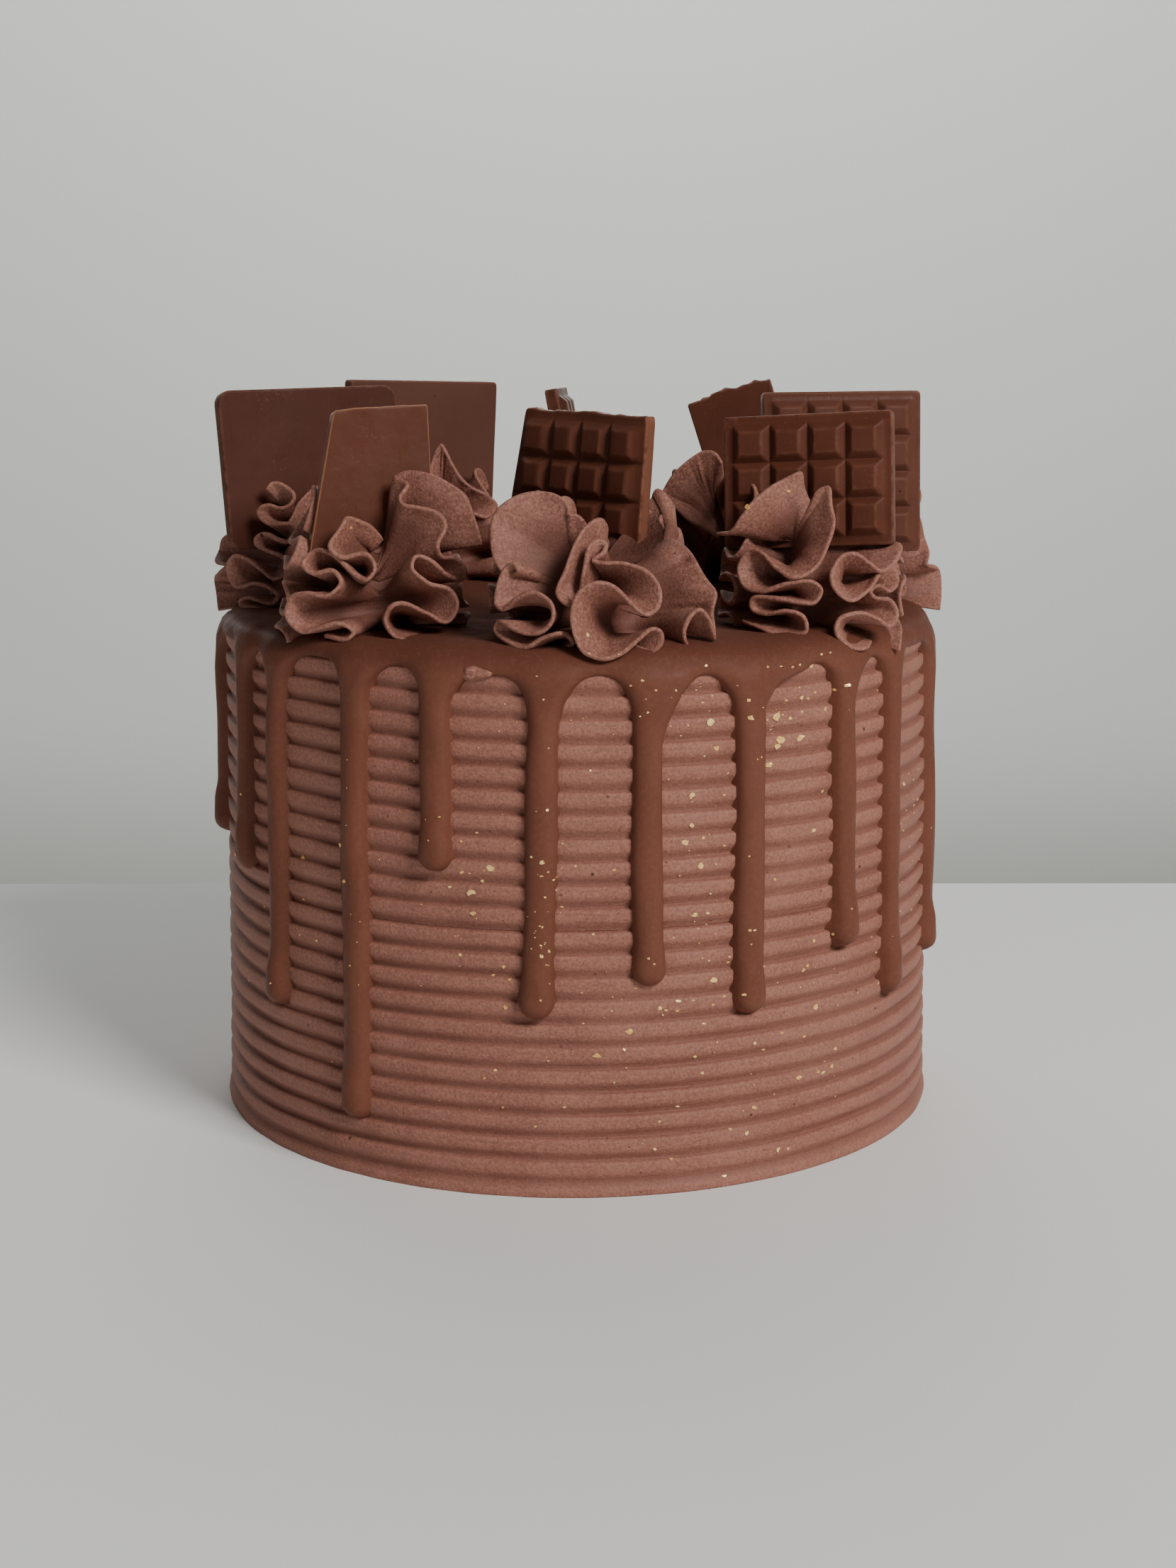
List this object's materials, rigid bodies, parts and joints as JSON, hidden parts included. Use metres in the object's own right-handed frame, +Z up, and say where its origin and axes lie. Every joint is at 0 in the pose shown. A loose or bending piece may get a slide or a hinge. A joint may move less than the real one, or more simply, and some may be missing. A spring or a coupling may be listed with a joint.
{
  "type": "birthday cake",
  "caption": "Round combed buttercream cake with a ganache drip, ruffled rosettes and pieces of moulded chocolate bar.",
  "frame": {"origin": "middle of the flat base of the cake, where it stands on its board", "axes": "+Z up through the middle of the cake, -Y towards the front, which is the side in the picture, +X to the right seen from the front"},
  "size_m": [0.1644, 0.1647, 0.1597],
  "materials": {
    "buttercream": "matt, slightly grainy whipped buttercream",
    "milk_ganache": "smooth set ganache, soft gloss",
    "milk_chocolate_bar": "moulded chocolate, satin"
  },
  "bodies": {
    "root": {"cake": "buttercream", "ganache": "milk_ganache", "rosette_front": "buttercream", "rosette_front_right": "buttercream", "rosette_right": "buttercream", "rosette_back_right": "buttercream", "rosette_back": "buttercream", "rosette_back_left": "buttercream", "rosette_left": "buttercream", "rosette_front_left": "buttercream", "bar_front": "milk_chocolate_bar", "bar_front_right": "milk_chocolate_bar", "bar_right": "milk_chocolate_bar", "bar_back_right": "milk_chocolate_bar", "bar_back": "milk_chocolate_bar", "bar_back_left": "milk_chocolate_bar", "bar_left": "milk_chocolate_bar", "bar_front_left": "milk_chocolate_bar"}
  },
  "joints": []
}
